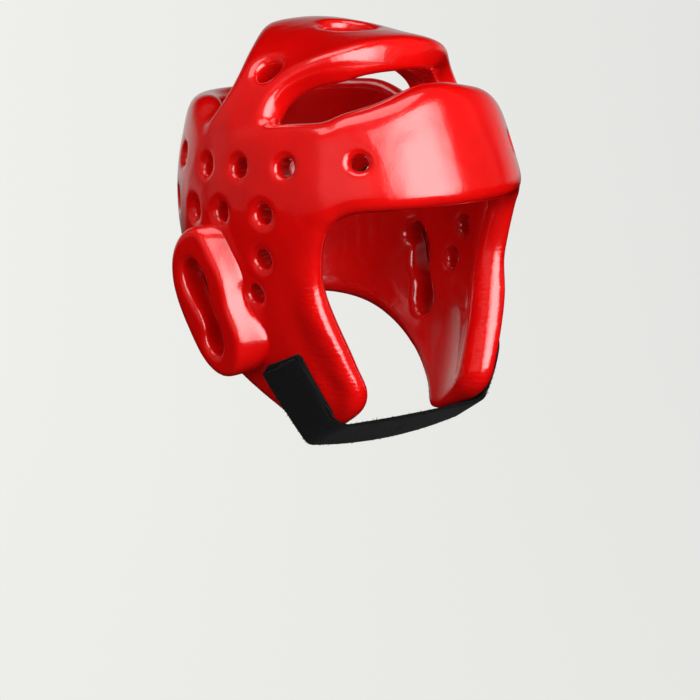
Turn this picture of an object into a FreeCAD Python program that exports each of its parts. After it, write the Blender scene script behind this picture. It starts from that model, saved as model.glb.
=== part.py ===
"""Dipped-foam sparring headgear, child size, as an assembly of its moulded pads, ear guards and chin strap.

Millimetres, +Z up. The wearer looks along -Y, so the wearer's right is -X. The origin is the middle of the head
cavity, level with the upper row of vent holes. Angles round the head turn from the front (0 degrees) towards the
wearer's right (90 degrees) and on to the back (180 degrees). The right-hand pieces are made and then mirrored.
"""

import FreeCAD, Part
import math
import os

V = FreeCAD.Vector

# ---------------------------------------------------------------- driving dimensions
# Outer surface of the shell at each height: half width, reach to the front, reach to the back.
HEAD_FORM = [
    (-180.0, 55.0, 87.0, 55.0),
    (-125.0, 79.0, 93.0, 80.0),
    (-85.0, 88.0, 103.0, 98.0),
    (-33.0, 94.5, 120.5, 106.0),
    (0.0, 91.5, 113.5, 103.0),
    (42.0, 81.5, 95.5, 88.5),
]
form_power = 2.1  # 2 is an ellipse, more is squarer
foam_thickness = 19.0  # radial thickness of the shell pads
edge_radius = 7.5  # rounding of their free edges
joint_gap = 0.3  # between curved faces that are glued together
ear_guard_gap = 0.5  # between the ear guard and the form, which the pads' skins pass by up to 0.2

# Shell joints. The forehead joint is upright; the rear joint leans back on its way down to the cheek joint.
forehead_joint = 43.5
rear_joint_top, rear_joint_top_height = 105.0, 20.0
rear_joint_low, rear_joint_low_height = 115.0, -31.0
cheek_rear_joint = 106.0
cheek_joint_height = -69.2

# Forehead pad: the brow edge runs level, then turns down into the corners of the face opening.
forehead_top = 37.5
side_top = 19.0  # height of the top edge where the crown stands on it
brow_height = -33.0
brow_corner_angle = 33.0  # where the corner's curve starts
brow_corner_drop = 25.5
brow_corner_sweep = 15.0  # degrees

# Side panel: height, angle of the face opening's edge, angle it is cut back from, inset of the rounded top.
SIDE_PANEL = [
    (cheek_joint_height, 48.5, 132.0, 0.0),
    (-62.0, 48.1, 132.0, 0.0),
    (-55.0, 47.4, 132.0, 0.0),
    (-49.0, 46.2, 132.0, 0.0),
    (-44.0, 44.9, 132.0, 0.0),
    (-40.0, 43.2, 132.0, 0.0),
    (-35.0, 38.5, 132.0, 0.0),
    (-28.0, 36.5, 130.0, 0.0),
    (-12.0, 36.0, 126.0, 0.0),
    (8.0, 36.0, 122.0, 0.0),
    (15.0, 36.0, 120.0, 0.9),
    (18.0, 36.0, 118.0, 3.4),
    (side_top, 36.0, 117.0, 6.0),
]

# Cheek flap: height, angle of the face opening's edge, angle of the rear edge, inset of the rounded end.
CHEEK_FLAP = [
    (-167.0, 49.0, 72.5, 1.5),
    (-160.0, 44.0, 75.5, 0.0),
    (-154.0, 37.5, 80.5, 0.0),
    (-147.0, 34.0, 88.0, 0.0),
    (-138.0, 33.8, 97.5, 0.0),
    (-128.0, 36.6, 108.0, 0.0),
    (-118.5, 39.0, 116.0, 0.0),
    (-106.0, 42.3, 116.0, 0.0),
    (-92.0, 45.7, 116.0, 0.0),
    (-80.0, 47.9, 116.0, 0.0),
    (cheek_joint_height, 48.5, 116.0, 0.0),
]
roll_width = 20.0  # the padded bead along the face opening
roll_swell = 3.5  # stands proud of the flap
roll_fade = 32.0  # height over which it rises below the side panel
flap_shares = (0.07, 0.15, 0.23, 0.31, 0.45, 0.62, 0.8)  # points across the flap, closest on the bead

# Rear pad: angle, lower edge, top edge.
REAR_EDGES = [
    (100.0, -135.5, 16.0),
    (106.0, -130.0, 20.0),
    (112.0, -124.0, 30.0),
    (118.0, -118.0, 33.5),
    (128.0, -109.0, 35.5),
    (145.0, -100.0, 36.5),
    (180.0, -96.0, 36.5),
]

# Crown pad: an arch from side panel to side panel. Lean from straight up, front edge, rear edge.
CROWN_EDGES = [
    (0.0, -61.5, 45.0),
    (13.0, -61.0, 39.5),
    (26.0, -58.5, 27.0),
    (36.0, -54.0, 18.0),
    (46.0, -45.0, 11.0),
    (55.0, -34.5, 6.5),
    (63.0, -28.5, 6.0),
    (70.0, -26.5, 10.0),
    (75.0, -26.5, 15.5),
    (79.0, -27.0, 20.5),
    (84.0, -28.0, 25.0),
]
crown_half_width, crown_narrowing = 90.0, 5.5  # the narrowing is that of the front edge against the rear
crown_power = 2.1
crown_thickness = 20.5
crown_peak, crown_peak_y = 78.0, 25.0
crown_front_height, crown_rear_height = 63.5, 73.5
crown_slope_power = 1.3  # how fast the crown falls from its peak to the front, 1 is a straight line
crown_edge_radius = 4.5
crown_hole_radius, crown_hole_y = 17.0, -15.5
flank_hole_radius, flank_hole_lean, flank_hole_y = 8.0, 51.5, -16.0

# Vent holes: bore and rounded lip, then their angles and heights on the right side and at the back.
vent_radius = 6.0
vent_lip = 3.5
FOREHEAD_VENTS = [(33.5, -2.5)]
SIDE_VENTS = [
    (58.9, -4.5), (79.6, -4.5), (99.0, -4.0),
    (68.4, -32.0), (89.8, -31.0), (107.5, -30.5),
    (71.0, -59.0),
]
CHEEK_VENTS = [(77.5, -80.0)]
REAR_VENTS = [
    (121.3, 1.0), (141.5, 2.0), (161.0, 2.0), (180.0, 2.0),
    (128.0, -26.0), (148.0, -26.0), (168.0, -26.0),
]

# Ear guard: outline and figure-of-eight opening as (y, z) pairs on its flat outer face.
ear_face_x, ear_face_slope = -110.0, -0.084  # the face leans with the head by this slope
ear_edge_radius = 4.5
ear_opening_radius = 3.0
EAR_OUTLINE = [
    (11.0, -39.5), (23.0, -43.5), (33.5, -56.0), (36.0, -78.0), (27.0, -104.0), (15.0, -123.0), (1.0, -129.5),
    (-10.0, -125.5), (-17.0, -113.0), (-16.0, -99.0), (-11.0, -86.0), (-9.5, -72.0), (-1.0, -52.0),
]
EAR_OPENING = [
    (17.0, -58.5), (24.0, -62.5), (25.5, -70.0), (22.5, -79.5), (15.5, -90.5), (12.5, -99.0), (12.5, -108.0),
    (8.5, -114.5), (2.0, -116.0), (-2.0, -109.5), (-1.0, -101.0), (2.5, -92.0), (5.0, -82.0), (5.5, -71.5),
    (10.0, -63.5),
]

# Chin strap: webbing that runs under the chin and folds up outside both cheeks, where its ends are fastened.
# Layers on the cheek, as distances from the shell's surface to the inside and outside of each.
loop_layer = (0.5, 2.1)
hook_layer = (2.4, 3.8)
strap_layer = (4.0, 6.0)
strap_thickness = strap_layer[1] - strap_layer[0]
fold_gap = 0.3  # between the mitred faces of a fold
STRAP_END = [  # angle and height of the fold's rear and front end, then of the end's upper front and rear corner
    (67.0, -168.0),
    (46.0, -159.0),
    (59.0, -115.5),
    (79.0, -125.0),
]
loop_span, loop_margin = (0.13, 1.03), -0.6  # shares of the way from the fold to the end's top, and side margin
hook_span, hook_margin = (0.38, 0.97), -1.5
strap_span = (-0.15, 1.0)  # starts below the fold, where the mitre cuts it
strap_corner_radius = 3.0

os.makedirs("parts", exist_ok=True)


# ---------------------------------------------------------------- the head form
def smooth_through(table, x, column):
    """Value of a column at x: a smooth curve through the rows of a table sorted by their first value."""
    xs = [row[0] for row in table]
    ys = [row[column] for row in table]
    last = len(xs) - 1
    slopes = [(ys[k + 1] - ys[k]) / (xs[k + 1] - xs[k]) for k in range(last)]
    if x <= xs[0]:
        return ys[0] + (x - xs[0]) * slopes[0]
    if x >= xs[last]:
        return ys[last] + (x - xs[last]) * slopes[-1]
    i = max(k for k in range(last) if xs[k] <= x)
    ends = [slopes[0]] + [(slopes[k - 1] + slopes[k]) / 2 for k in range(1, last)] + [slopes[-1]]
    h = xs[i + 1] - xs[i]
    t = (x - xs[i]) / h
    blend = 3 * t**2 - 2 * t**3
    bow = h * ((t**3 - 2 * t**2 + t) * ends[i] + (t**3 - t**2) * ends[i + 1])
    return (1 - blend) * ys[i] + blend * ys[i + 1] + bow


def form_point(angle, z, outset=0.0):
    """Point on the shell's outer surface, moved outwards by outset."""
    a = math.radians(angle)
    half_width = smooth_through(HEAD_FORM, z, 1)
    reach = smooth_through(HEAD_FORM, z, 2 if math.cos(a) > 0 else 3)
    share = abs(math.sin(a) / half_width) ** form_power + abs(math.cos(a) / reach) ** form_power
    r = share ** (-1 / form_power) + outset
    return V(-r * math.sin(a), -r * math.cos(a), z)


def form_normal(angle, z):
    across = form_point(angle + 0.5, z) - form_point(angle - 0.5, z)
    up = form_point(angle, z + 0.5) - form_point(angle, z - 0.5)
    return across.cross(up).normalize() * -1


# ---------------------------------------------------------------- outlines, lofts and cutters
def rounded_bar(length, thickness, radii, across_start=0.0, shares=(0.2, 0.4, 0.6, 0.8)):
    """Closed outline of a bar with rounded corners as (along, across) pairs.

    radii are those of the inner start, inner end, outer end and outer start corners. The long sides bend with the
    head, so they get points of their own at the given shares.
    """
    radii = [min(r, length / 2 - 0.05, thickness / 2 - 0.05) for r in radii]
    corners = [
        (radii[0], radii[0], 180, radii[0]),
        (length - radii[1], radii[1], 270, radii[1]),
        (length - radii[2], thickness - radii[2], 0, radii[2]),
        (radii[3], thickness - radii[3], 90, radii[3]),
    ]
    points = []
    for n, (along, across, turn, r) in enumerate(corners):
        for k in range(3):
            a = math.radians(turn + 45 * k)
            points.append((along + r * math.cos(a), across + r * math.sin(a)))
        start = points[-1][0]
        if n == 0:
            points += [(start + (length - radii[1] - start) * share, 0.0) for share in shares]
        elif n == 2:
            points += [(radii[3] + (start - radii[3]) * share, thickness) for share in reversed(shares)]
    return [(along, across + across_start) for along, across in points]


def closed_spline(points):
    curve = Part.BSplineCurve()
    curve.interpolate(Points=points, PeriodicFlag=True)
    return Part.Wire([curve.toShape()])


def shares_of_length(rows, closed):
    """Parameters from 0 to 1 along rows of matching points, spaced by the mean distance between neighbours."""
    count = len(rows[0])
    steps = []
    for k in range(count if closed else count - 1):
        steps.append(sum((row[(k + 1) % count] - row[k]).Length for row in rows) / len(rows))
    total = sum(steps)
    params = [0.0]
    for step in steps:
        params.append(params[-1] + step / total)
    return params[:-1] + [1.0]


def loft(sections):
    """Solid with a smooth skin through closed sections of matching points, and flat ends."""
    around = shares_of_length(sections, True)
    along = shares_of_length(list(zip(*sections)), False)
    rings = []
    for points in sections:
        ring = Part.BSplineCurve()
        ring.interpolate(Points=points, PeriodicFlag=True, Parameters=around)
        rings.append(ring)
    columns = []
    for poles in zip(*[ring.getPoles() for ring in rings]):
        column = Part.BSplineCurve()
        column.interpolate(Points=list(poles), Parameters=along)
        columns.append(column)
    skin = Part.BSplineSurface()
    skin.buildFromPolesMultsKnots(
        [column.getPoles() for column in columns],
        rings[0].getMultiplicities(), columns[0].getMultiplicities(),
        rings[0].getKnots(), columns[0].getKnots(),
        True, False, rings[0].Degree, columns[0].Degree,
    )
    ends = [Part.Face(Part.Wire([skin.vIso(v).toShape()])) for v in (skin.bounds()[2], skin.bounds()[3])]
    shell = Part.Shell([skin.toShape()] + ends)
    shell.sewShape()
    solid = Part.Solid(shell)
    return solid if solid.Volume > 0 else solid.reversed()


def mirrored(shape):
    return shape.mirror(V(0, 0, 0), V(1, 0, 0))


def prism(points, direction):
    return Part.Face(Part.makePolygon(points + points[:1])).extrude(direction)


def wedge(angle_from, angle_to, z_low, z_high, reach=400.0):
    """Upright wedge between two angles round the head."""
    corners = [V(0, 0, z_low)]
    steps = int(abs(angle_to - angle_from) / 45) + 2
    for k in range(steps + 1):
        a = math.radians(angle_from + (angle_to - angle_from) * k / steps)
        corners.append(V(-reach * math.sin(a), -reach * math.cos(a), z_low))
    return prism(corners, V(0, 0, z_high - z_low))


def hole_cutter(point, normal, radius, lip, depth=45.0):
    """Round hole with a rounded lip, sunk along a surface normal."""
    outer = radius + lip
    bend = V(radius + lip * (1 - math.cos(math.pi / 4)), 0, -lip * (1 - math.sin(math.pi / 4)))
    edges = [
        Part.makeLine(V(0, 0, -depth), V(radius, 0, -depth)),
        Part.makeLine(V(radius, 0, -depth), V(radius, 0, -lip)),
        Part.Arc(V(radius, 0, -lip), bend, V(outer, 0, 0)).toShape(),
        Part.makeLine(V(outer, 0, 0), V(outer, 0, 8)),
        Part.makeLine(V(outer, 0, 8), V(0, 0, 8)),
        Part.makeLine(V(0, 0, 8), V(0, 0, -depth)),
    ]
    cutter = Part.Face(Part.Wire(edges)).revolve(V(0, 0, 0), V(0, 0, 1), 360)
    cutter.Placement = FreeCAD.Placement(point, FreeCAD.Rotation(V(0, 0, 1), normal))
    return cutter


def rounded_hole(shape, point, normal, radius, lip, depth=35.0):
    """Shape with a round hole along a surface normal, whose outer edge is filleted."""
    normal = normal.normalize()
    holed = shape.cut(Part.makeCylinder(radius, depth + 20, point - normal * depth, normal))
    mouth = []
    for edge in holed.Edges:
        step = (edge.LastParameter - edge.FirstParameter) / 6
        spots = [edge.valueAt(edge.FirstParameter + step * k) - point for k in range(7)]
        if all(abs(s.dot(normal)) < 5 and abs(s.cross(normal).Length - radius) < 0.05 for s in spots):
            mouth.append(edge)
    return holed.makeFillet(lip, mouth)


def vented(shape, vents):
    return shape.cut([hole_cutter(form_point(a, z), form_normal(a, z), vent_radius, vent_lip) for a, z in vents])


# ---------------------------------------------------------------- shell pads
def upright_section(angle, z_low, z_high, side_points=4):
    """Section of a pad in the upright plane at an angle round the head."""
    shares = [k / (side_points + 1) for k in range(1, side_points + 1)]
    bar = rounded_bar(z_high - z_low, foam_thickness, [edge_radius] * 4, -foam_thickness, shares)
    return [form_point(angle, z_low + along, across) for along, across in bar]


def forehead_edges(angle):
    """Brow edge and top edge of the forehead pad at an angle."""
    share = angle / forehead_joint
    turn = max(0.0, (abs(angle) - brow_corner_angle) / brow_corner_sweep)
    low = brow_height - brow_corner_drop * (1 - math.sqrt(1 - turn**2))
    high = side_top + (forehead_top - side_top) * (1 - share**2) ** 0.8 if abs(share) < 1 else side_top
    return low, high


def forehead_pad():
    shares = [0.18, 0.35, 0.52, 0.68, 0.79, 0.87, 0.94, 1.0]
    angles = [forehead_joint * share for share in [-t for t in reversed(shares)] + [0.0] + shares]
    pad = loft([upright_section(a, *forehead_edges(a)) for a in angles])
    return vented(pad, FOREHEAD_VENTS + [(-angle, z) for angle, z in FOREHEAD_VENTS])


def form_radius(angle, z):
    point = form_point(angle, z)
    return math.hypot(point.x, point.y)


def level_section(z, front, rear, inset, shares=(0.16, 0.33, 0.5, 0.67, 0.84), bead=(0.0, 1.0)):
    """Section of a pad in the level plane at height z, between two angles.

    bead is the height and the width in degrees of a swelling along the front edge.
    """
    scale = math.radians(1) * form_radius((front + rear) / 2, z)
    thickness = foam_thickness - 2 * inset
    length = (rear - front) * scale - 2 * min(inset, 2.0)
    start = front + min(inset, 2.0) / scale
    points = []
    for along, across in rounded_bar(length, thickness, [edge_radius] * 4, inset - foam_thickness, shares):
        lift = math.sin(math.pi * min(1.0, along / scale / bead[1])) * (1 + across / foam_thickness)
        points.append(form_point(start + along / scale, z, across + bead[0] * lift))
    return points


def joint_wedge(z_low, z_high, low_angle, high_angle, to_angle=178.0, reach=400.0):
    """Room behind a joint that passes through low_angle at z_low and high_angle at z_high."""
    outlines = []
    for z, angle in ((z_low, low_angle), (z_high, high_angle)):
        corners = [V(0, 0, z)]
        for k in range(4):
            a = math.radians(angle + (to_angle - angle) * k / 3)
            corners.append(V(-reach * math.sin(a), -reach * math.cos(a), z))
        outlines.append(Part.makePolygon(corners + corners[:1]))
    return Part.makeLoft(outlines, True, True)


def rear_joint_angle(z):
    slope = (rear_joint_low - rear_joint_top) / (rear_joint_low_height - rear_joint_top_height)
    return rear_joint_top + (z - rear_joint_top_height) * slope


def rear_room():
    """Everything that belongs to the rear pad on the right side: behind the joints with side panel and cheek."""
    low, high = cheek_joint_height, 60.0
    upper = joint_wedge(low, high, rear_joint_angle(low), rear_joint_angle(high))
    lower = wedge(cheek_rear_joint, 178, -220, cheek_joint_height)
    return upper, lower


def side_panel():
    panel = loft([level_section(z, front, rear, inset) for z, front, rear, inset in SIDE_PANEL])
    cutters = [wedge(-forehead_joint, forehead_joint, -60, 100), rear_room()[0], ear_prism(EAR_OPENING, 1.5)]
    return vented(panel.cut(cutters), SIDE_VENTS)


def roll_rear(z):
    """Angle of the bead's rear edge: a bead's width behind the face opening, but never under the strap end."""
    (fold_angle, fold_z), (top_angle, top_z) = STRAP_END[1:3]
    front = smooth_through(CHEEK_FLAP, z, 1)
    strap_front = fold_angle + (z - fold_z) * (top_angle - fold_angle) / (top_z - fold_z)
    return min(front + math.degrees(roll_width / form_radius(front, z)), strap_front - 0.5)


def cheek_flap():
    """The whole flap with its bead, trimmed along the strap that passes under its tip."""
    sections = []
    for z, front, rear, inset in CHEEK_FLAP:
        width = max(roll_rear(z) - front, 1.0)
        rise = math.sin(math.pi / 2 * min(1.0, (cheek_joint_height - z) / roll_fade)) ** 2
        full = min(1.0, width * math.radians(form_radius(front, z)) / roll_width)
        sections.append(level_section(z, front, rear, inset, flap_shares, (roll_swell * rise * full, width)))
    return loft(sections).cut([under_strap(), rear_room()[1], ear_prism(EAR_OPENING, 1.5)])


def ahead_of_joint(gap):
    """Everything in front of the joint between bead and flap, moved back by gap."""
    heights = [cheek_joint_height + 4 - 9 * k for k in range(13)]
    line = [form_point(roll_rear(z), z) for z in heights]
    line = [V(-150, point.y + gap, point.z) for point in line]
    joint = Part.BSplineCurve()
    joint.interpolate(Points=line)
    far = [line[-1], V(-150, -150, line[-1].z), V(-150, -150, line[0].z), line[0]]
    return Part.Face(Part.Wire([joint.toShape()] + Part.makePolygon(far).Edges)).extrude(V(150, 0, 0))


def cheek_pad():
    return vented(cheek_flap().cut(ahead_of_joint(joint_gap)), CHEEK_VENTS)


def cheek_roll():
    return cheek_flap().common(ahead_of_joint(0.0))


def rear_pad():
    sections = []
    for k in range(-8, 9):
        row = 180 - (180 - REAR_EDGES[0][0]) * abs(k) / 8
        angle = 180 + (row - 180) * (1 if k < 0 else -1)
        low, high = (smooth_through(REAR_EDGES, row, column) for column in (1, 2))
        sections.append(upright_section(angle, low, high, 9))
    pad = loft(sections)
    upper, lower = rear_room()
    right = upper.fuse(lower)
    middle = Part.makeBox(20, 300, 400, V(-20, 0, -250))
    ahead = Part.makeBox(300, 300, 400, V(-300, 0, -250)).cut([right, middle])
    front = Part.makeBox(600, 300, 400, V(-300, -300, -250))
    pad = pad.cut([ahead, mirrored(ahead), front])
    return vented(pad, REAR_VENTS + [(-angle, z) for angle, z in REAR_VENTS if angle < 180])


# ---------------------------------------------------------------- crown pad
def crown_height(y):
    front, rear = CROWN_EDGES[0][1:]
    if y < crown_peak_y:
        share = (crown_peak_y - y) / (crown_peak_y - front)
        return crown_peak - (crown_peak - crown_front_height) * share**crown_slope_power
    return crown_peak - (crown_peak - crown_rear_height) * ((y - crown_peak_y) / (rear - crown_peak_y)) ** 2


def crown_width(y):
    """Half width of the crown's arch, which narrows from the middle of the head to its front feet."""
    share = min(max(y / CROWN_EDGES[-1][1], 0.0), 1.0)
    return crown_half_width - crown_narrowing * share**2 * (3 - 2 * share)


def crown_point(lean, y, outset=0.0):
    """Point on the crown's outer surface; lean turns from straight up towards the wearer's right."""
    a = math.radians(lean)
    share = abs(math.sin(a) / crown_width(y)) ** crown_power + abs(math.cos(a) / crown_height(y)) ** crown_power
    r = share ** (-1 / crown_power) + outset
    return V(-r * math.sin(a), y, r * math.cos(a))


def crown_section(lean):
    front = smooth_through(CROWN_EDGES, abs(lean), 1)
    rear = smooth_through(CROWN_EDGES, abs(lean), 2)
    bar = rounded_bar(rear - front, crown_thickness, [crown_edge_radius] * 4, -crown_thickness)
    return [crown_point(lean, front + along, across) for along, across in bar]


def crown_pad():
    half = loft([crown_section(lean) for lean in [-20, -10] + [row[0] for row in CROWN_EDGES]])
    below = Part.makeBox(300, 300, 200, V(-150, -150, side_top - 200))
    other_half = Part.makeBox(90, 300, 300, V(0, -150, 0))
    half = half.cut([below, other_half])
    point = crown_point(flank_hole_lean, flank_hole_y)
    across = crown_point(flank_hole_lean + 1, flank_hole_y) - crown_point(flank_hole_lean - 1, flank_hole_y)
    along = crown_point(flank_hole_lean, flank_hole_y + 1) - crown_point(flank_hole_lean, flank_hole_y - 1)
    half = rounded_hole(half, point, across.cross(along), flank_hole_radius, vent_lip)
    pad = half.fuse(mirrored(half))
    slope = crown_point(0, crown_hole_y + 1) - crown_point(0, crown_hole_y - 1)
    middle = crown_point(0, crown_hole_y)
    return pad.cut(hole_cutter(middle, V(1, 0, 0).cross(slope), crown_hole_radius, vent_lip, 35))


# ---------------------------------------------------------------- ear guard
def ear_normal():
    return V(-1, ear_face_slope, ear_face_slope).normalize()


def ear_prism(outline, out, depth=60.0):
    """Outline on the ear guard's face plane, moved outwards and extruded towards the head."""
    normal = ear_normal()
    points = [V(ear_face_x + ear_face_slope * (y + z), y, z) + normal * out for y, z in outline]
    return Part.Face(closed_spline(points)).extrude(normal * -depth)


def face_rim(shape):
    """Edges that lie on the ear guard's face plane."""
    normal = ear_normal()
    level = V(ear_face_x, 0, 0).dot(normal)
    rim = []
    for edge in shape.Edges:
        spots = [edge.valueAt(t) for t in edge.ParameterRange] + [edge.CenterOfMass]
        if all(abs(spot.dot(normal) - level) < 0.01 for spot in spots):
            rim.append(edge)
    return rim


def form_solid(outset, z_low, z_high):
    """The whole head form grown by outset, between two heights."""
    count = round((z_high - z_low) / 6)
    heights = [z_low + (z_high - z_low) * k / count for k in range(count + 1)]
    return loft([[form_point(7.5 * n, z, outset) for n in range(48)] for z in heights])


def ear_guard():
    guard = ear_prism(EAR_OUTLINE, 0.0)
    guard = guard.makeFillet(ear_edge_radius, face_rim(guard))
    before = face_rim(guard)
    guard = guard.cut(ear_prism(EAR_OPENING, 5.0, 70.0))
    old = [edge.CenterOfMass for edge in before]
    rim = [e for e in face_rim(guard) if all(e.CenterOfMass.distanceToPoint(c) > 0.5 for c in old)]
    guard = guard.makeFillet(ear_opening_radius, rim)
    return guard.cut(form_solid(ear_guard_gap, -145, -25))


# ---------------------------------------------------------------- chin strap
def strap_line(share, outset=0.0):
    """Rear and front point of the fastened strap end at a share of the way from the fold to its top."""
    fold_rear, fold_front, top_front, top_rear = [form_point(angle, z, outset) for angle, z in STRAP_END]
    return fold_rear + (top_rear - fold_rear) * share, fold_front + (top_front - fold_front) * share


def cheek_layer(layer, span, margin, rounded):
    """Sheet that lies on the cheek between two distances from the shell, along part of the strap end.

    rounded is how many of its corners are rounded, from the top down.
    """
    rear_low, front_low = strap_line(span[0])
    rear_top, front_top = strap_line(span[1])
    side = (front_low - rear_low).normalize() * margin
    corners = [rear_low - side, front_low + side, front_top + side, rear_top - side]
    middle = (corners[0] + corners[1] + corners[2] + corners[3]) * 0.25
    normal = (corners[2] - corners[0]).cross(corners[1] - corners[3]).normalize()
    depth = 30.0
    corners = [c - normal * ((c - middle).dot(normal) + depth / 2) for c in corners]
    block = prism(corners, normal * depth)
    uprights = [e for e in block.Edges if abs(e.Length - depth) < 0.01]
    uprights.sort(key=lambda e: -e.CenterOfMass.z)
    if rounded:
        block = block.makeFillet(strap_corner_radius, uprights[:rounded])
    sheet = form_solid(layer[1], -182, -104).cut(form_solid(layer[0], -183, -103))
    return sheet.common(block)


def strap_end():
    return cheek_layer(strap_layer, strap_span, 0.0, 2).common(cheek_side_of_fold(fold_gap / 2))


def loop_patch():
    return cheek_layer(loop_layer, loop_span, loop_margin, 4)


def hook_patch():
    return cheek_layer(hook_layer, hook_span, hook_margin, 0)


def fold_frame():
    """The fold's inner corner (rear and front end) and the vector from there to its outer corner.

    The ribbon opens about its outer corner, so the mitred faces part there and never meet.
    """
    rear, front = strap_line(0.0, strap_layer[0])
    top_rear, top_front = strap_line(1.0, strap_layer[0])
    along = front - rear
    down = V(0, along.z, -along.y).normalize()
    down = down if down.z < 0 else down * -1
    outward = along.cross(top_rear + top_front - rear - front).normalize()
    outward = outward if outward.x < 0 else outward * -1
    mitre = (down + outward).normalize()
    return rear, front, down, mitre * (strap_thickness / mitre.dot(down))


def cheek_side_of_fold(gap, reach=60.0):
    """Everything on the cheek's side of the mitre, moved away from it by gap."""
    rear, front, down, mitre = fold_frame()
    along = (front - rear).normalize()
    normal = along.cross(mitre).normalize()
    normal = normal if normal.dot(down) < 0 else normal * -1
    middle = (rear + front) * 0.5 + normal * gap
    side = mitre.normalize() * reach
    corners = [middle - along * reach - side, middle + along * reach - side]
    corners += [middle + along * reach + side, middle - along * reach + side]
    return prism(corners, normal * reach)


def under_strap():
    """Everything below the upper face of the run under the chin, with a gap above it."""
    rear, front, down, _ = fold_frame()
    reach = (front - rear) * 4
    reach.x = 0
    corners = [V(-200, p.y, p.z) - down * joint_gap for p in (rear - reach, front + reach)]
    corners += [corners[1] + V(200, 0, 0), corners[0] + V(200, 0, 0)]
    return prism(corners, down * 60)


def chin_strap():
    """Flat run between the two folds; its upper face passes through both inner corners."""
    rear, front, down, mitre = fold_frame()
    rear, front = rear + V(mitre.x, 0, 0), front + V(mitre.x, 0, 0)
    corners = [rear, front, V(-front.x, front.y, front.z), V(-rear.x, rear.y, rear.z)]
    beyond = cheek_side_of_fold(-fold_gap / 2)
    return prism(corners, down * strap_thickness).cut([beyond, mirrored(beyond)])


# ---------------------------------------------------------------- all parts
def main():
    for name, make in {
        "forehead_pad": forehead_pad, "rear_pad": rear_pad, "crown_pad": crown_pad, "chin_strap": chin_strap,
    }.items():
        make().exportStep(f"parts/{name}.step")
    for name, make in {
        "side_panel": side_panel, "cheek_pad": cheek_pad, "cheek_roll": cheek_roll, "ear_guard": ear_guard,
        "loop_patch": loop_patch, "hook_patch": hook_patch, "strap_end": strap_end,
    }.items():
        shape = make()
        shape.exportStep(f"parts/{name}_right.step")
        mirrored(shape).exportStep(f"parts/{name}_left.step")


main()
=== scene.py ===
import math
import bpy
import numpy as np
import openvdb
from mathutils import Matrix, Vector
from mathutils.bvhtree import BVHTree


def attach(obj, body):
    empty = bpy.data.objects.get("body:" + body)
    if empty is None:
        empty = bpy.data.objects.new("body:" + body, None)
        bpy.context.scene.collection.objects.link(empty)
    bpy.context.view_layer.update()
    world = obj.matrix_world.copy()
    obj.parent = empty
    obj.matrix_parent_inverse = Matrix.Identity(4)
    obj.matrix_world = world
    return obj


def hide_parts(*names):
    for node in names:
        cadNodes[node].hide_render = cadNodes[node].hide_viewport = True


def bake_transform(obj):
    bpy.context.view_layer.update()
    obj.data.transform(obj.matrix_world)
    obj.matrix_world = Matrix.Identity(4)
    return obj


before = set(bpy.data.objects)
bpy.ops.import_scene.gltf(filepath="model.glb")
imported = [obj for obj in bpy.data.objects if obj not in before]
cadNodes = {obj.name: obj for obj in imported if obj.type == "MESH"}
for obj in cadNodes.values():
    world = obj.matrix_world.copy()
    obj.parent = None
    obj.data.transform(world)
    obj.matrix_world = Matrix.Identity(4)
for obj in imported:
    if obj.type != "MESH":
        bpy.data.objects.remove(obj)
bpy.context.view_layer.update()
mm = 0.001  # Blender's metres in one millimetre
print("frame loaded:", len(cadNodes), "nodes")


def linearColour(hexText):
    # an sRGB hex colour as the linear one that shaders take
    parts = [int(hexText[i:i + 2], 16) / 255 for i in (1, 3, 5)]
    return tuple(c / 12.92 if c <= 0.04045 else ((c + 0.055) / 1.055) ** 2.4 for c in parts) + (1.0,)


def addNode(tree, kind, settings=None, links=None):
    # settings go to attributes of the node or, where it has none of that name, to its input sockets
    node = tree.nodes.new(kind)
    for key, value in (settings or {}).items():
        if isinstance(key, str) and hasattr(node, key):
            setattr(node, key, value)
        else:
            node.inputs[key].default_value = value
    for key, socket in (links or {}).items():
        tree.links.new(socket, node.inputs[key])
    return node


def newMaterial(name):
    material = bpy.data.materials.new(name)
    material.use_nodes = True
    material.node_tree.nodes.clear()
    return material, material.node_tree


def finishMaterial(tree, shader, bump=None):
    if bump:
        tree.links.new(bump.outputs["Normal"], shader.inputs["Normal"])
    addNode(tree, "ShaderNodeOutputMaterial", links={"Surface": shader.outputs[0]})


def newObject(name, points, faces, smooth=True):
    mesh = bpy.data.meshes.new(name)
    mesh.from_pydata(points, [], faces)
    mesh.validate()
    mesh.polygons.foreach_set("use_smooth", [smooth] * len(mesh.polygons))
    obj = bpy.data.objects.new(name, mesh)
    bpy.context.collection.objects.link(obj)
    return obj


def bakeModifiers(obj):
    # turns the evaluated shape into a plain mesh and drops the modifiers
    graph = bpy.context.evaluated_depsgraph_get()
    mesh = bpy.data.meshes.new_from_object(obj.evaluated_get(graph))
    mesh.name = obj.name
    obj.modifiers.clear()
    obj.data = mesh


def placesOf(obj):
    # the mesh's points, in millimetres
    places = np.empty(len(obj.data.vertices) * 3, np.float32)
    obj.data.vertices.foreach_get("co", places)
    return places.reshape(-1, 3) / mm


def movePoints(obj, places):
    obj.data.vertices.foreach_set("co", (places * mm).ravel())
    obj.data.update()


def ramp(values, start, end):
    # 0 before start, 1 after end, and an even slope between them that eases in and out
    share = np.clip((values - start) / (end - start), 0, 1)
    return share * share * (3 - 2 * share)


def hump(values, middle, halfLength, height):
    # a round swell that is highest in the middle and gone at both ends
    return height * np.cos(np.clip((values - middle) / halfLength, -1, 1) * math.pi / 2) ** 2


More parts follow.
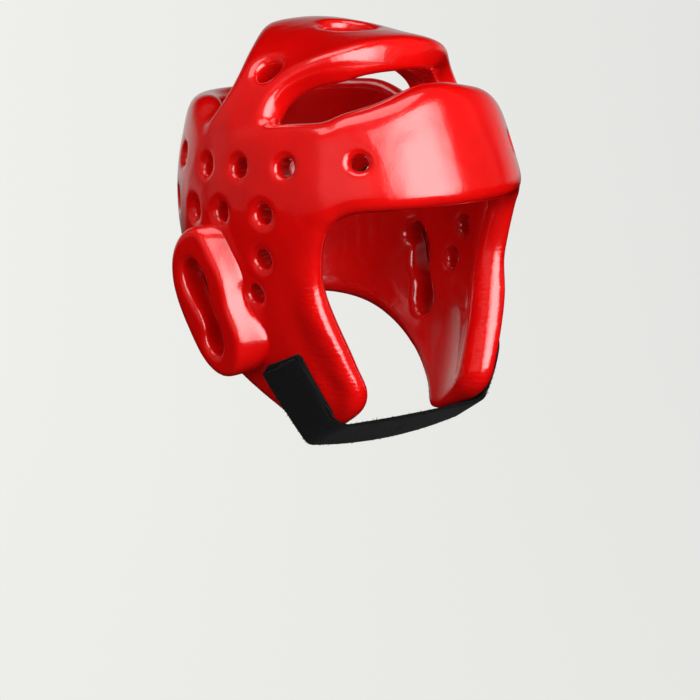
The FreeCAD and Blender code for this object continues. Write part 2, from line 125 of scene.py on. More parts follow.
vinylLook = {  # sizes and depths in millimetres
    "red": "#E30705", "deepRed": "#D50504",
    "blotch": 40.0, "blotchEdges": (0.35, 0.65),  # the noise below and above which each red is pure
    "dent": 16.0, "dentDepth": 0.7,
    "crease": 2.2, "creaseLength": 25 / 3, "creaseDepth": 0.5,
    "pebble": 1.4, "pebbleDepth": 0.09,  # coarser than the real ones, which wouldn't show
    "ior": 1.58, "roughness": 0.2,
    "coatIor": 1.53, "coatRoughness": 0.06,
}


def dippedVinyl():
    # plastisol vinyl, dipped and cured over foam: wet gloss on a deep red, slow dents from the foam
    # under it, fine pebbles that break up the edges of its reflections, and creases across the beads
    # where the attribute "crease" asks for them
    look = vinylLook
    material, tree = newMaterial("plastisolVinylDip")
    place = addNode(tree, "ShaderNodeTexCoord").outputs["Object"]
    blotch = addNode(
        tree, "ShaderNodeTexNoise", {"Scale": 1000 / look["blotch"], "Detail": 2.0}, {"Vector": place},
    )
    tone = addNode(tree, "ShaderNodeValToRGB", {}, {"Fac": blotch.outputs["Fac"]})
    low, high = tone.color_ramp.elements
    low.position, high.position = look["blotchEdges"]
    low.color, high.color = linearColour(look["deepRed"]), linearColour(look["red"])
    dent = addNode(
        tree, "ShaderNodeTexNoise", {"Scale": 1000 / look["dent"], "Detail": 1.0}, {"Vector": place},
    )
    dents = addNode(
        tree, "ShaderNodeBump", {"Strength": 1.0, "Distance": look["dentDepth"] * mm},
        {"Height": dent.outputs["Fac"]},
    )
    along, across = 1000 / look["creaseLength"], 1000 / look["crease"]
    stretched = addNode(tree, "ShaderNodeMapping", {"Scale": (along, along, across)}, {"Vector": place})
    folds = addNode(
        tree, "ShaderNodeTexNoise", {"Scale": 1.0, "Detail": 2.0}, {"Vector": stretched.outputs["Vector"]},
    )
    where = addNode(tree, "ShaderNodeAttribute", {"attribute_name": "crease"})
    creased = addNode(
        tree, "ShaderNodeMath", {"operation": "MULTIPLY"},
        {0: folds.outputs["Fac"], 1: where.outputs["Fac"]},
    )
    creases = addNode(
        tree, "ShaderNodeBump", {"Strength": 1.0, "Distance": look["creaseDepth"] * mm},
        {"Height": creased.outputs["Value"], "Normal": dents.outputs["Normal"]},
    )
    pebble = addNode(
        tree, "ShaderNodeTexNoise", {"Scale": 1000 / look["pebble"], "Detail": 1.0}, {"Vector": place},
    )
    pebbles = addNode(
        tree, "ShaderNodeBump", {"Strength": 1.0, "Distance": look["pebbleDepth"] * mm},
        {"Height": pebble.outputs["Fac"], "Normal": creases.outputs["Normal"]},
    )
    shader = addNode(
        tree, "ShaderNodeBsdfPrincipled",
        {"IOR": look["ior"], "Roughness": look["roughness"], "Coat Weight": 1.0,
         "Coat IOR": look["coatIor"], "Coat Roughness": look["coatRoughness"]},
        {"Base Color": tone.outputs["Color"]},
    )
    finishMaterial(tree, shader, pebbles)
    return material


fabricLooks = {  # thread and depth in millimetres
    "brushedLoopWebbing": {"colour": "#0B0B0C", "thread": 0.9, "depth": 0.35, "sheen": 0.04},
    "loopPile": {"colour": "#0C0C0D", "thread": 0.7, "depth": 0.5, "sheen": 0.05},
    "nylonHookTape": {"colour": "#0A0A0B", "thread": 1.2, "depth": 0.5, "sheen": 0.0},
}
fabricCommon = {
    "tuft": 2.5, "shades": (0.6, 1.5),  # threads in a tuft, and the darkest and lightest tuft
    "roughness": 0.92, "ior": 1.45, "specular": 0.15, "sheenRoughness": 0.6, "relief": 0.8,
}


def blackFabric(name):
    # dyed polyester or nylon, woven and brushed or hooked: matt black, a little lighter where the ends
    # of the loops catch the light
    look, common = fabricLooks[name], fabricCommon
    material, tree = newMaterial(name)
    place = addNode(tree, "ShaderNodeTexCoord").outputs["Object"]
    loops = addNode(tree, "ShaderNodeTexVoronoi", {"Scale": 1000 / look["thread"]}, {"Vector": place})
    tuft = addNode(
        tree, "ShaderNodeTexNoise", {"Scale": 1000 / (common["tuft"] * look["thread"]), "Detail": 3.0},
        {"Vector": place},
    )
    shade = addNode(
        tree, "ShaderNodeMapRange", {"To Min": common["shades"][0], "To Max": common["shades"][1]},
        {"Value": tuft.outputs["Fac"]},
    )
    colour = addNode(
        tree, "ShaderNodeMix",
        {"data_type": "RGBA", "blend_type": "MULTIPLY", 0: 1.0, 6: linearColour(look["colour"])},
        {7: shade.outputs["Result"]},
    )
    bump = addNode(
        tree, "ShaderNodeBump", {"Strength": common["relief"], "Distance": look["depth"] * mm},
        {"Height": loops.outputs["Distance"]},
    )
    shader = addNode(
        tree, "ShaderNodeBsdfPrincipled",
        {"Roughness": common["roughness"], "IOR": common["ior"], "Specular IOR Level": common["specular"],
         "Sheen Weight": look["sheen"], "Sheen Roughness": common["sheenRoughness"]},
        {"Base Color": colour.outputs[2]},
    )
    finishMaterial(tree, shader, bump)
    return material


vinylMaterial = dippedVinyl()
webbingMaterial = blackFabric("brushedLoopWebbing")
loopMaterial = blackFabric("loopPile")
hookMaterial = blackFabric("nylonHookTape")
print("materials: vinyl dip, webbing, loop pile and hook tape")


# the dip's skin is worked out as distances to the foam solids, in a grid of cells
skinSettings = {
    "margin": 6,  # cells round the solids
    "band": 3, "spare": 2,  # cells past the radius with a distance, and as many more once it has grown
    "blendBand": 3,  # cells, up to which the distances of two skins are mixed
    "reach": 6.0,  # millimetres, up to which they are softened
    "smoothing": 0.5, "smoothPasses": 2,  # of the finished mesh
}


def meshArrays(obj):
    # points in millimetres, and the corners of the triangles
    mesh = obj.data
    mesh.calc_loop_triangles()
    corners = np.empty(len(mesh.loop_triangles) * 3, np.int32)
    mesh.loop_triangles.foreach_get("vertices", corners)
    return placesOf(obj), corners.reshape(-1, 3).astype(np.uint32)


def joinedArrays(names):
    points, corners, count = [], [], 0
    for name in names:
        nodePoints, nodeCorners = meshArrays(cadNodes[name])
        points.append(nodePoints)
        corners.append(nodeCorners + count)
        count += len(nodePoints)
    return np.concatenate(points), np.concatenate(corners).astype(np.uint32)


def levelSet(points, corners, voxel, band):
    transform = openvdb.createLinearTransform(voxelSize=voxel)
    return openvdb.FloatGrid.createLevelSetFromPolygons(
        points, triangles=corners, transform=transform, halfWidth=band,
    )


def asTriangles(points, triangles, quads):
    halves = [quads[:, [0, 1, 2]], quads[:, [0, 2, 3]]]
    return np.ascontiguousarray(points, np.float32), np.concatenate([triangles] + halves).astype(np.uint32)


def closedField(points, corners, voxel, radius, low, size):
    # distances to the solids once they are grown by radius and shrunk again, which fills inner corners
    # with a fillet and leaves outer ones
    band = radius / voxel + skinSettings["band"]
    grown = asTriangles(*levelSet(points, corners, voxel, band).convertToPolygons(radius))
    field = np.zeros(size, np.float32)
    levelSet(*grown, voxel, band + skinSettings["spare"]).copyToArray(field, ijk=tuple(low))
    return field + radius


def softened(field, passes):
    for _ in range(passes):
        for axis in range(3):
            field = (np.roll(field, 1, axis) + np.roll(field, -1, axis)) * 0.25 + field * 0.5
    return field


def meshOfField(name, field, low, voxel):
    grid = openvdb.FloatGrid(float(field.max()))
    grid.copyFromArray(np.ascontiguousarray(field, np.float32), ijk=tuple(low))
    grid.transform = openvdb.createLinearTransform(voxelSize=voxel)
    points, triangles, quads = grid.convertToPolygons(0.0)
    a, b, c = (points[quads[:, k]] for k in (0, 1, 2))
    insideOut = np.einsum("ij,ij->i", a, np.cross(b, c)).sum() < 0  # the volume comes out negative
    faces = [tuple(f[::-1] if insideOut else f) for f in triangles.tolist() + quads.tolist()]
    return newObject(name, (points * mm).tolist(), faces)


def skinOver(name, nodes, voxel, close, soften, wider=None):
    # one closed skin over CAD nodes, as the dip leaves it; wider is a second, larger radius and the
    # function of x, y and z that gives its share
    s = skinSettings
    points, corners = joinedArrays(nodes)
    low = np.floor(points.min(0) / voxel).astype(int) - s["margin"]
    size = np.ceil(points.max(0) / voxel).astype(int) + s["margin"] + 1 - low
    field = closedField(points, corners, voxel, close, low, size)
    if wider:
        radius, shareAt = wider
        axes = [(low[k] + np.arange(size[k])) * voxel for k in range(3)]
        share = shareAt(*np.meshgrid(*axes, indexing="ij"))
        wide = closedField(points, corners, voxel, radius, low, size)
        limit = s["blendBand"] * voxel
        field = np.clip(field, -limit, limit) * (1 - share) + np.clip(wide, -limit, limit) * share
    field = softened(np.clip(field, -s["reach"], s["reach"]), soften)
    skin = meshOfField(name, field, low, voxel)
    smooth = skin.modifiers.new("soften", "SMOOTH")
    smooth.factor, smooth.iterations = s["smoothing"], s["smoothPasses"]
    bakeModifiers(skin)
    skin.data.materials.append(vinylMaterial)
    return skin


# millimetres and degrees, with x to the left and -y to the front; a pair says where a ramp starts and ends
shellSettings = {
    "nodes": [
        "forehead_pad", "rear_pad", "crown_pad", "side_panel_right", "side_panel_left",
        "cheek_pad_right", "cheek_pad_left", "cheek_roll_right", "cheek_roll_left",
    ],
    "voxel": 1.75,
    "soften": 2,
    "close": 2.0,  # radius of the fillet that the dip leaves in every inner corner
    "footClose": 12.0,  # the same at the crown pad's feet, which fades in over |x|, y and z
    "footAcross": (50.0, 62.0), "footBack": (-34.0, -20.0), "footUp": (2.0, 12.0),
    "footBackEnd": (21.0, 34.0), "footUpEnd": (23.0, 36.0),  # and out again over y and z
    "cornerIn": (28.0, 36.0), "cornerOut": (46.0, 54.0),  # and at the ends of the front slot's lower edge,
    "cornerUp": (0.0, 10.0),  # in degrees from the front and over z
    "dips": ((25.0, 23.0, 4.6), (-16.0, 14.0, 1.0)),  # degrees right of the front, half width and depth
    "dipUp": (-14.0, 26.0), "dipUpEnd": (38.0, 44.0),  # heights between which the forehead dips
    "dipOutside": (52.0, 60.0),  # and distances from the z axis past which it does
    "creaseUp": (-160.0, -148.0), "creaseUpEnd": (-76.0, -62.0),  # heights between which the beads crease
    "creaseTurn": (52.0, 62.0), "creaseFront": (30.0, 40.0),  # degrees from the front, and -y
}


def footShare(x, y, z):
    # 1 round the crown's feet and the ends of the front slot's lower edge, 0 away from them
    s = shellSettings
    share = ramp(np.abs(x), *s["footAcross"]) * ramp(y, *s["footBack"]) * ramp(z, *s["footUp"])
    share = share * (1 - ramp(y, *s["footBackEnd"])) * (1 - ramp(z, *s["footUpEnd"]))
    turn = np.degrees(np.arctan2(np.abs(x), -y))
    corner = ramp(turn, *s["cornerIn"]) * (1 - ramp(turn, *s["cornerOut"])) * ramp(z, *s["cornerUp"])
    return np.maximum(share, corner)


def dipForehead(skin):
    # lets the forehead's top edge down towards the crown's feet, more on the right, where the foam has
    # gone softer
    s = shellSettings
    places = placesOf(skin)
    x, y, z = places.T
    turn = np.degrees(np.arctan2(-x, -y))
    dip = sum(hump(turn, *values) for values in s["dips"])
    outside = ramp(np.hypot(x, y), *s["dipOutside"]) * (1 - ramp(z, *s["dipUpEnd"]))
    places[:, 2] -= dip * ramp(z, *s["dipUp"]) * outside
    movePoints(skin, places)


def markCreases(skin):
    # 1 on the beads along the face opening below the temples, 0 elsewhere
    s = shellSettings
    x, y, z = placesOf(skin).T
    share = ramp(z, *s["creaseUp"]) * (1 - ramp(z, *s["creaseUpEnd"]))
    turn = np.degrees(np.arctan2(np.abs(x), -y))
    share = share * (1 - ramp(turn, *s["creaseTurn"])) * ramp(-y, *s["creaseFront"])
    crease = skin.data.attributes.new("crease", "FLOAT", "POINT")
    crease.data.foreach_set("value", share.astype(np.float32))


def makeShell():
    s = shellSettings
    wider = (s["footClose"], footShare)
    skin = skinOver("dippedShell", s["nodes"], s["voxel"], s["close"], s["soften"], wider)
    dipForehead(skin)
    markCreases(skin)
    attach(skin, "shell")
    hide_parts(*s["nodes"])
    print("shell:", len(skin.data.polygons), "faces")


earSettings = {  # millimetres
    "voxel": 1.2,
    "close": 1.0, "soften": 1,
    "face": (110.0, 0.084),  # |x| at y + z = 0, and how much more it is per millimetre of y + z
    "depths": (2.0, 14.0),  # below the face, over which the flare grows
    "frontEdge": (  # height and y along the front of the guard
        (-130, -8), (-116, -16.7), (-100, -16.8), (-84, -11.3),
        (-68, -9.1), (-56, -4.5), (-44, 1.6), (-36, 7.4),
    ),
    "frontWidth": (3.0, 12.0),  # behind the front edge, over which the flare fades out
    "flares": ((-54.0, 40.0, 9.0), (-106.0, 34.0, 7.0)),  # of the foot: height, half length, reach
    "inward": 0.6,  # the foot also follows the shell inwards, by this share of its reach
}


def flareEar(skin):
    # the foot of the front wall swells forward at both lobes
    s = earSettings
    places = placesOf(skin)
    x, y, z = places.T
    heights, edges = zip(*s["frontEdge"])
    below = s["face"][0] + s["face"][1] * (y + z) - np.abs(x)
    behind = y - np.interp(z, heights, edges)
    share = ramp(below, *s["depths"]) * (1 - ramp(behind, *s["frontWidth"]))
    shift = share * sum(hump(z, *values) for values in s["flares"])
    places[:, 0] -= np.sign(x) * s["inward"] * shift
    places[:, 1] -= shift
    movePoints(skin, places)


def makeEarGuards():
    s = earSettings
    for side in ("right", "left"):
        node = "ear_guard_" + side
        skin = skinOver("earGuard" + side.capitalize(), [node], s["voxel"], s["close"], s["soften"])
        flareEar(skin)
        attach(skin, "shell")
        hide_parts(node)
        print(node + ":", len(skin.data.polygons), "faces")


makeShell()
makeEarGuards()


fuzzSettings = {  # metres, and fibres to the square metre
    "radius": 0.00025,  # coarser than real fibres, which wouldn't show
    "sides": 3, "lean": 0.7, "scales": (0.5, 1.3),
    "strap": {"Density": 1.6e6, "Length": 0.0017, "Seed": 4, "Rim Only": True, "Keep Base": True},
    "loop": {"Density": 5.0e5, "Length": 0.0009, "Seed": 7, "Rim Only": False, "Keep Base": False},
    "hook": {"Density": 4.0e5, "Length": 0.0006, "Seed": 9, "Rim Only": False, "Keep Base": False},
}


def makeFuzzTree():
    # fibres scattered over a mesh, or over its faces of material 1 alone
    s = fuzzSettings
    tree = bpy.data.node_groups.new("pileFuzz", "GeometryNodeTree")
    kinds = {
        "Geometry": "Geometry", "Density": "Float", "Length": "Float", "Seed": "Int",
        "Rim Only": "Bool", "Keep Base": "Bool", "Material": "Material",
    }
    for name, kind in kinds.items():
        tree.interface.new_socket(name=name, in_out="INPUT", socket_type="NodeSocket" + kind)
    tree.interface.new_socket(name="Geometry", in_out="OUTPUT", socket_type="NodeSocketGeometry")
    given = addNode(tree, "NodeGroupInput").outputs
    rim = addNode(
        tree, "FunctionNodeCompare", {"operation": "GREATER_THAN", 1: 0.5},
        {0: addNode(tree, "GeometryNodeInputMaterialIndex").outputs[0]},
    )
    chosen = addNode(
        tree, "FunctionNodeBooleanMath", {"operation": "IMPLY"},
        {0: given["Rim Only"], 1: rim.outputs["Result"]},
    )
    spots = addNode(
        tree, "GeometryNodeDistributePointsOnFaces", {},
        {"Mesh": given["Geometry"], "Selection": chosen.outputs[0], "Density": given["Density"],
         "Seed": given["Seed"]},
    )
    fibre = addNode(
        tree, "GeometryNodeMeshCone",
        {"fill_type": "NONE", "Vertices": s["sides"], "Radius Bottom": s["radius"]},
        {"Depth": given["Length"]},
    )
    lean = s["lean"]
    turn = addNode(
        tree, "FunctionNodeRandomValue",
        {"data_type": "FLOAT_VECTOR", 0: (-lean, -lean, 0.0), 1: (lean, lean, math.tau)},
        {"Seed": given["Seed"]},
    )
    turned = addNode(tree, "FunctionNodeEulerToRotation", {}, {0: turn.outputs[0]})
    leaning = addNode(
        tree, "FunctionNodeRotateRotation", {"rotation_space": "LOCAL"},
        {0: spots.outputs["Rotation"], 1: turned.outputs[0]},
    )
    size = addNode(
        tree, "FunctionNodeRandomValue", {2: s["scales"][0], 3: s["scales"][1]}, {"Seed": given["Seed"]},
    )
    fibres = addNode(
        tree, "GeometryNodeInstanceOnPoints", {},
        {"Points": spots.outputs["Points"], "Instance": fibre.outputs["Mesh"],
         "Rotation": leaning.outputs[0], "Scale": size.outputs[1]},
    )
    base = addNode(
        tree, "GeometryNodeSwitch", {"input_type": "GEOMETRY"},
        {"Switch": given["Keep Base"], "True": given["Geometry"]},
    )
    joined = addNode(tree, "GeometryNodeJoinGeometry", {}, {0: fibres.outputs["Instances"]})
    tree.links.new(base.outputs[0], joined.inputs[0])
    real = addNode(tree, "GeometryNodeRealizeInstances", {}, {0: joined.outputs[0]})
    dressed = addNode(
        tree, "GeometryNodeSetMaterial", {}, {"Geometry": real.outputs[0], "Material": given["Material"]},
    )
    addNode(tree, "NodeGroupOutput", {}, {0: dressed.outputs[0]})
    return tree


fuzzTree = makeFuzzTree()


def growFuzz(obj, values, material):
    modifier = obj.modifiers.new("fuzz", "NODES")
    modifier.node_group = fuzzTree
    sockets = {i.name: i.identifier for i in fuzzTree.interface.items_tree if i.in_out == "INPUT"}
    for name, value in dict(values, Material=material).items():
        modifier[sockets[name]] = value
    bakeModifiers(obj)
    obj.data.materials.clear()
    obj.data.materials.append(material)
    obj.data.polygons.foreach_set("material_index", [0] * len(obj.data.polygons))


# the strap is one ribbon from cheek to cheek, made as two halves that meet under the chin
strapSettings = {  # millimetres, for the right half; the left one is its mirror image
    "foldRear": (-58.41, -24.79, -168.0), "foldFront": (-53.74, -51.89, -159.0),  # on the shell's form
    "topRear": (-78.16, -15.19, -125.0), "topFront": (-73.53, -44.18, -115.5),
    "foldOutRear": (-62.09, -26.36, -168.0), "foldOutFront": (-56.62, -54.67, -159.0),
    "topOutRear": (-82.08, -15.96, -125.0), "topOutFront": (-76.96, -46.24, -115.5),
    "outBy": 4.0,  # how far the last four stand off the form
    "thickness": 2.0,
    "across": 16, "inset": 0.03,  # steps over the width, and the share of it left out at each edge
    "edgeShare": 0.6, "topShare": 0.3,  # of a step, by which the ribbon goes on past its edges and its top
    "cheekSteps": 26, "cheekSpan": (0.997, 0.12),  # down the cheek, as shares of the form's height
    "rayFrom": 25.0, "nearFrom": 6.0,  # off the form, where the search for the tab's outer face starts
    "lift": 4.0,  # by which the left end's front edge stands off the cheek
    "down": (0.0, -0.303, -0.953),  # square to the fold
    "foldShiftRear": (3.5, 0.0, -4.0), "foldShiftFront": (2.5, 0.0, -0.4),  # from the CAD's sharp fold
    "foldReach": 5.0, "foldGap": 1.0, "foldSteps": 8,  # the bend's length each way, and the room before it
    "chinSteps": 26,
    "rearDrop": 4.0, "frontDrop": 1.0,  # how much lower each edge hangs in the middle than at the folds
    "rimAngle": 50.0,  # degrees, past which an edge stays sharp
    "zoneStart": (-5.0, 0.0, 8.0), "zoneEnd": (-0.5, 0.0, -1.5),  # a zone by the fold, from the fold
}


def tabTree(node):
    mesh = cadNodes[node].data
    points, faces = [v.co / mm for v in mesh.vertices], [tuple(f.vertices) for f in mesh.polygons]
    return BVHTree.FromPolygons(points, faces)


def cheekLine(tab, form, acrossShare, flip):
    # down the cheek, in the middle of the tab's thickness
    s = strapSettings
    first, last = s["cheekSpan"]
    points = []
    for k in range(s["cheekSteps"]):
        t = first + (last - first) * k / (s["cheekSteps"] - 1)
        base, out = form["fold"].lerp(form["top"], t), form["foldOut"].lerp(form["topOut"], t)
        hit = tab.ray_cast((base + out * s["rayFrom"]) * flip, -out * flip)[0]
        hit = hit or tab.find_nearest((base + out * s["nearFrom"]) * flip)[0]
        lift = s["lift"] * acrossShare * math.sin(math.pi * t) * (flip.x < 0)
        points.append(hit * flip - out * (s["thickness"] / 2 - lift))
    return points


def foldLine(start, bend, end):
    # a round bend from start to end, drawn towards the corner
    points = []
    for k in range(strapSettings["foldSteps"] + 1):
        t = k / strapSettings["foldSteps"]
        points.append(start.lerp(bend, t).lerp(bend.lerp(end, t), t))
    return points


def chinLine(begin, acrossShare):
    # across to the middle plane, sagging
    s = strapSettings
    depth = s["rearDrop"] * (1 - acrossShare) + s["frontDrop"] * acrossShare
    points = []
    for k in range(1, s["chinSteps"] + 1):
        t = k / s["chinSteps"]
        points.append(Vector((begin.x * (1 - t), begin.y, begin.z - depth * t * (2 - t))))
    return points


def strapPath(tab, acrossShare, side):
    # middle line of the ribbon at one place across it, from the top of the tab to the middle plane
    s = strapSettings
    share = s["inset"] + (1 - 2 * s["inset"]) * acrossShare
    form = {}
    for name in ("fold", "top", "foldOut", "topOut", "foldShift"):
        form[name] = Vector(s[name + "Rear"]).lerp(Vector(s[name + "Front"]), share)
    for name in ("fold", "top"):
        form[name + "Out"] = (form[name + "Out"] - form[name]) / s["outBy"]
    flip = Vector((side, 1, 1))
    points = cheekLine(tab, form, acrossShare, flip)
    halfThick = s["thickness"] / 2
    bend = form["fold"] + form["foldOut"] * (s["outBy"] + halfThick) + Vector(s["down"]) * halfThick
    bend += form["foldShift"]
    along = (points[-1] - bend).normalized()
    points = [p for p in points if (p - bend).dot(along) > s["foldReach"] + s["foldGap"]]
    inward = Vector((1, 0, 0))
    points += foldLine(bend + along * s["foldReach"], bend, bend + inward * s["foldReach"])
    points += chinLine(points[-1], acrossShare)
    return [p * flip for p in points]


def beyond(row, nextRow, share):
    return [p + (p - q) * share for p, q in zip(row, nextRow)]


def ribbonGrid(node, side):
    # rows of points along the ribbon, all with as many points
    s = strapSettings
    tab = tabTree(node)
    rows = [strapPath(tab, k / s["across"], side) for k in range(s["across"] + 1)]
    count = min(len(row) for row in rows)
    rows = [row[len(row) - count:] for row in rows]
    rows.insert(0, beyond(rows[0], rows[1], s["edgeShare"]))
    rows.append(beyond(rows[-1], rows[-2], s["edgeShare"]))
    return [beyond(row[:1], row[1:2], s["topShare"]) + row for row in rows]


def ribbon(name, side, node):
    # side is 1 for the right half, which is at negative x, and -1 for the left one
    s = strapSettings
    rows = ribbonGrid(node, side)
    count = len(rows[0])
    faces = []
    for row in range(len(rows) - 1):
        for step in range(count - 1):
            corner = row * count + step
            quad = (corner, corner + 1, corner + count + 1, corner + count)
            faces.append(quad if side > 0 else quad[::-1])
    obj = newObject(name, [tuple(p * mm) for row in rows for p in row], faces)
    thick = obj.modifiers.new("thickness", "SOLIDIFY")
    thick.thickness, thick.offset = s["thickness"] * mm, 0.0
    thick.material_offset_rim = 1  # marks the cut edges, where the fibres fray
    for _ in range(2):
        obj.data.materials.append(webbingMaterial)
    bakeModifiers(obj)
    obj.data.set_sharp_from_angle(angle=math.radians(s["rimAngle"]))
    growFuzz(obj, fuzzSettings["strap"], webbingMaterial)
    return obj


def makeStrap():
    right = ribbon("chinStrapRight", 1, "strap_end_right")
    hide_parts("strap_end_right", "chin_strap")
    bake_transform(right)
    left = ribbon("chinStrapLeft", -1, "strap_end_left")
    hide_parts("strap_end_left", "chin_strap")
    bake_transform(left)
    for piece in (right, left):
        print(piece.name + ":", len(piece.data.polygons), "faces")


makeStrap()


patchBodies = {
    "loop_patch_right": "shell", "loop_patch_left": "shell",
    "hook_patch_right": "tab", "hook_patch_left": "shell",
}


def dressPatches():
    # finishes on the hook and loop pieces, which stay as the CAD has them, and their pile
    for name, body in patchBodies.items():
        kind, _, side = name.split("_")
        material = loopMaterial if kind == "loop" else hookMaterial
        mesh = cadNodes[name].data
        mesh.materials.clear()
        mesh.materials.append(material)
        points, faces = [v.co[:] for v in mesh.vertices], [tuple(f.vertices) for f in mesh.polygons]
        fuzz = newObject(kind + "Fuzz" + side.capitalize(), points, faces, smooth=False)
        growFuzz(fuzz, fuzzSettings[kind], material)
        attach(fuzz, body)
        print(fuzz.name + ":", len(fuzz.data.polygons), "faces")


dressPatches()


cameraSettings = {  # degrees, millimetres and pixels
    "azimuth": -39.0, "elevation": 8.0, "roll": 3.6,
    "distance": 1800.0, "pxPerMm": 1.65,
    "originPx": (339.5, 144.3),  # where the frame's origin falls in the picture
    "picturePx": 700, "sensor": 36.0,
    "clipEnd": 50.0,  # metres
}


def makeCamera():
    s = cameraSettings
    azimuth, elevation, roll = (math.radians(s[key]) for key in ("azimuth", "elevation", "roll"))
    level = Vector((math.cos(azimuth), math.sin(azimuth), 0))
    flat = math.cos(elevation)
    back = Vector((math.sin(azimuth) * flat, -math.cos(azimuth) * flat, math.sin(elevation)))
    upright = back.cross(level)
    right = level * math.cos(roll) - upright * math.sin(roll)
    up = level * math.sin(roll) + upright * math.cos(roll)
    dx, dy = ((s["picturePx"] / 2 - px) / s["pxPerMm"] for px in s["originPx"])
    place = right * dx - up * dy + back * s["distance"]
    data = bpy.data.cameras.new("camera")
    data.sensor_width = s["sensor"]
    data.lens = s["pxPerMm"] * s["distance"] / s["picturePx"] * s["sensor"]
    data.clip_end = s["clipEnd"]
    camera = bpy.data.objects.new("camera", data)
    bpy.context.collection.objects.link(camera)
    turn = Matrix((right, up, back)).transposed().to_4x4()
    camera.matrix_world = Matrix.Translation(place * mm) @ turn
    bpy.context.scene.camera = camera


lampSettings = {  # metres and watts; the fills shine through a polariser, so they leave no gloss
    "keySoftbox": {"place": (0.02, -1.9, 0.5), "size": (2.2, 2.2), "power": 60, "glossy": True},
    "topSoftbox": {"place": (-0.3, -0.3, 1.7), "size": (1.4, 1.2), "power": 10, "glossy": True},
    "rearFill": {"place": (-0.5, 1.9, 0.7), "size": (1.4, 1.4), "power": 24, "glossy": False},
    "rightFill": {"place": (1.9, 0.2, 0.4), "size": (1.2, 1.2), "power": 15, "glossy": False},
    "leftFill": {"place": (-1.5, -0.8, 0.5), "size": (1.0, 1.0), "power": 11, "glossy": False},
}
lampTarget = (0.0, 0.0, -0.04)
clothSettings = {
    "middle": 1.25, "edge": 0.45,  # strength in front of the lamp and at the sides
    "fade": (0.15, 0.52),  # from the middle, over which it falls, as shares of the width
    "heightShare": 0.5,  # it falls this much as fast up and down
}


def makeLamp(name, lamp):
    data = bpy.data.lights.new(name, "AREA")
    data.shape = "RECTANGLE"
    data.size, data.size_y = lamp["size"]
    data.energy = lamp["power"]
    light = bpy.data.objects.new(name, data)
    bpy.context.collection.objects.link(light)
    light.location = lamp["place"]
    light.visible_glossy = lamp["glossy"]
    aim = Vector(lampTarget) - Vector(lamp["place"])
    light.rotation_euler = aim.to_track_quat("-Z", "Y").to_euler()
    return data


def softenEdges(data):
    # the cloth of a softbox glows most in front of its lamp and less towards its edges
    s = clothSettings
    data.use_nodes = True
    tree = data.node_tree
    spot = addNode(tree, "ShaderNodeNewGeometry").outputs["Parametric"]
    tall = s["heightShare"]
    centred = addNode(
        tree, "ShaderNodeVectorMath",
        {"operation": "MULTIPLY_ADD", 1: (1.0, tall, 0.0), 2: (-0.5, -0.5 * tall, 0.0)}, {0: spot},
    )
    away = addNode(tree, "ShaderNodeVectorMath", {"operation": "LENGTH"}, {0: centred.outputs["Vector"]})
    strength = addNode(
        tree, "ShaderNodeMapRange",
        {"interpolation_type": "SMOOTHSTEP", "From Min": s["fade"][0], "From Max": s["fade"][1],
         "To Min": s["middle"], "To Max": s["edge"]},
        {"Value": away.outputs["Value"]},
    )
    tree.links.new(strength.outputs["Result"], tree.nodes["Emission"].inputs["Strength"])


def makeLamps():
    made = {name: makeLamp(name, lamp) for name, lamp in lampSettings.items()}
    softenEdges(made["keySoftbox"])


backdropSettings = {  # metres
    "paper": "#6E6E6D",
    "leftGlow": "#F1F2ED", "rightGlow": "#E2E2E0",
    "glowReach": 0.8, "worldReach": 0.2,  # each side of the middle, over which one turns into the other
    "glossShare": 0.6,  # of the glow in gloss, where it fades in over these heights and distances
    "wallUp": (-0.5, -0.1), "ceilingDown": (2.2, 0.5), "nearer": (7.5, 3.2),
    "worldStrength": 0.09,
    "floor": -0.6, "floorFront": -6.0, "bendStart": 2.4, "bendRadius": 1.2, "bendSteps": 24,
    "wallTop": 7.0, "halfWidth": 8.0,
}


def paleTone(tree, place, reach):
    # painted light: the paper's glow is warm white on its left and greyer on its right
    s = backdropSettings
    azimuth = math.radians(cameraSettings["azimuth"])
    level = (math.cos(azimuth), math.sin(azimuth), 0.0)
    across = addNode(tree, "ShaderNodeVectorMath", {"operation": "DOT_PRODUCT", 1: level}, {0: place})
    share = addNode(
        tree, "ShaderNodeMapRange", {"From Min": -reach, "From Max": reach},
        {"Value": across.outputs["Value"]},
    )
    tone = addNode(
        tree, "ShaderNodeMix",
        {"data_type": "RGBA", 6: linearColour(s["leftGlow"]), 7: linearColour(s["rightGlow"])},
        {0: share.outputs["Result"]},
    )
    return tone.outputs[2]


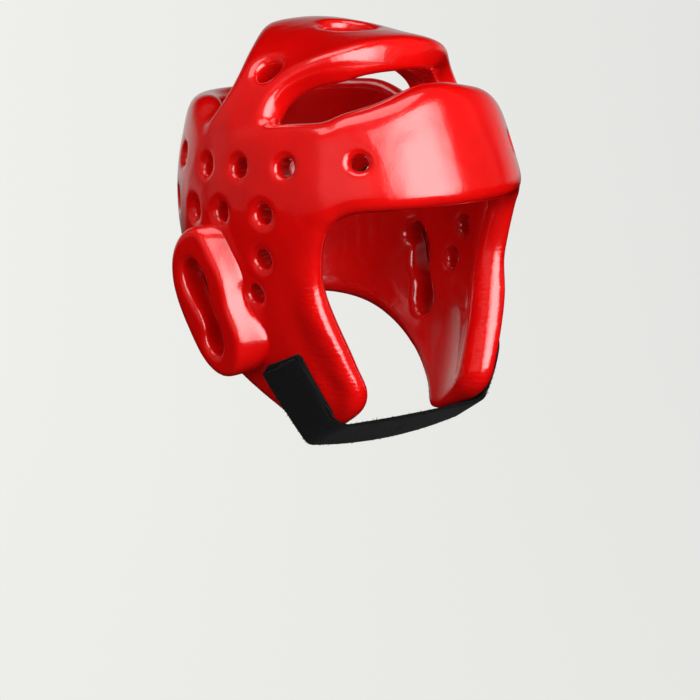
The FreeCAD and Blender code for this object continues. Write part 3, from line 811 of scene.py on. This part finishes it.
def litPaper():
    # matt seamless paper: it looks pale to the camera, and the gloss shows the wall of it but neither the
    # floor nor what is overhead; for all other light it is grey, so that it doesn't wash the red out
    s = backdropSettings
    material, tree = newMaterial("paperSweep")
    path = addNode(tree, "ShaderNodeLightPath").outputs
    paper = addNode(tree, "ShaderNodeBsdfDiffuse", {"Color": linearColour(s["paper"])})
    place = addNode(tree, "ShaderNodeTexCoord").outputs["Object"]
    height = addNode(tree, "ShaderNodeSeparateXYZ", {}, {"Vector": place}).outputs["Z"]
    away = addNode(tree, "ShaderNodeVectorMath", {"operation": "LENGTH"}, {0: place}).outputs["Value"]
    strength = path["Is Glossy Ray"]
    for value, span in ((height, "wallUp"), (height, "ceilingDown"), (away, "nearer")):
        share = addNode(
            tree, "ShaderNodeMapRange", {"From Min": s[span][0], "From Max": s[span][1]}, {"Value": value},
        )
        strength = addNode(
            tree, "ShaderNodeMath", {"operation": "MULTIPLY"}, {0: strength, 1: share.outputs["Result"]},
        ).outputs["Value"]
    strength = addNode(
        tree, "ShaderNodeMath", {"operation": "MULTIPLY_ADD", 1: s["glossShare"]},
        {0: strength, 2: path["Is Camera Ray"]},
    ).outputs["Value"]
    tone = paleTone(tree, place, s["glowReach"])
    glow = addNode(tree, "ShaderNodeEmission", {}, {"Color": tone, "Strength": strength})
    seen = addNode(
        tree, "ShaderNodeMath", {"operation": "MAXIMUM"},
        {0: path["Is Camera Ray"], 1: path["Is Glossy Ray"]},
    )
    both = addNode(
        tree, "ShaderNodeMixShader", {},
        {0: seen.outputs["Value"], 1: paper.outputs[0], 2: glow.outputs[0]},
    )
    finishMaterial(tree, both)
    return material


def makeSweep():
    # floor, quarter bend and wall in one sheet, square to the camera's azimuth
    s = backdropSettings
    profile = [(s["floorFront"], s["floor"])]
    for k in range(s["bendSteps"] + 1):
        turn = math.pi / 2 * k / s["bendSteps"]
        along = s["bendStart"] + s["bendRadius"] * math.sin(turn)
        profile.append((along, s["floor"] + s["bendRadius"] * (1 - math.cos(turn))))
    profile.append((s["bendStart"] + s["bendRadius"], s["wallTop"]))
    azimuth = Matrix.Rotation(math.radians(cameraSettings["azimuth"]), 3, "Z")
    points = []
    for x in (-s["halfWidth"], s["halfWidth"]):
        points += [tuple(azimuth @ Vector((x, along, z))) for along, z in profile]
    count = len(profile)
    sweep = newObject("sweep", points, [(k, k + 1, count + k + 1, count + k) for k in range(count - 1)])
    sweep.data.materials.append(litPaper())


def makeWorld():
    # past the paper's edges the camera sees it as the paper's glow; the object gets a little light from it
    s = backdropSettings
    world = bpy.data.worlds.new("studio")
    world.use_nodes = True
    tree = world.node_tree
    background = tree.nodes["Background"].inputs
    direction = addNode(tree, "ShaderNodeTexCoord").outputs["Generated"]
    tree.links.new(paleTone(tree, direction, s["worldReach"]), background["Color"])
    seen = addNode(tree, "ShaderNodeLightPath").outputs["Is Camera Ray"]
    dim = s["worldStrength"]
    strength = addNode(tree, "ShaderNodeMath", {"operation": "MULTIPLY_ADD", 1: 1 - dim, 2: dim}, {0: seen})
    tree.links.new(strength.outputs["Value"], background["Strength"])
    bpy.context.scene.world = world


makeCamera()
makeLamps()
makeSweep()
makeWorld()
bpy.context.scene.view_settings.view_transform = "Standard"
print("camera, lamps, backdrop and world set")
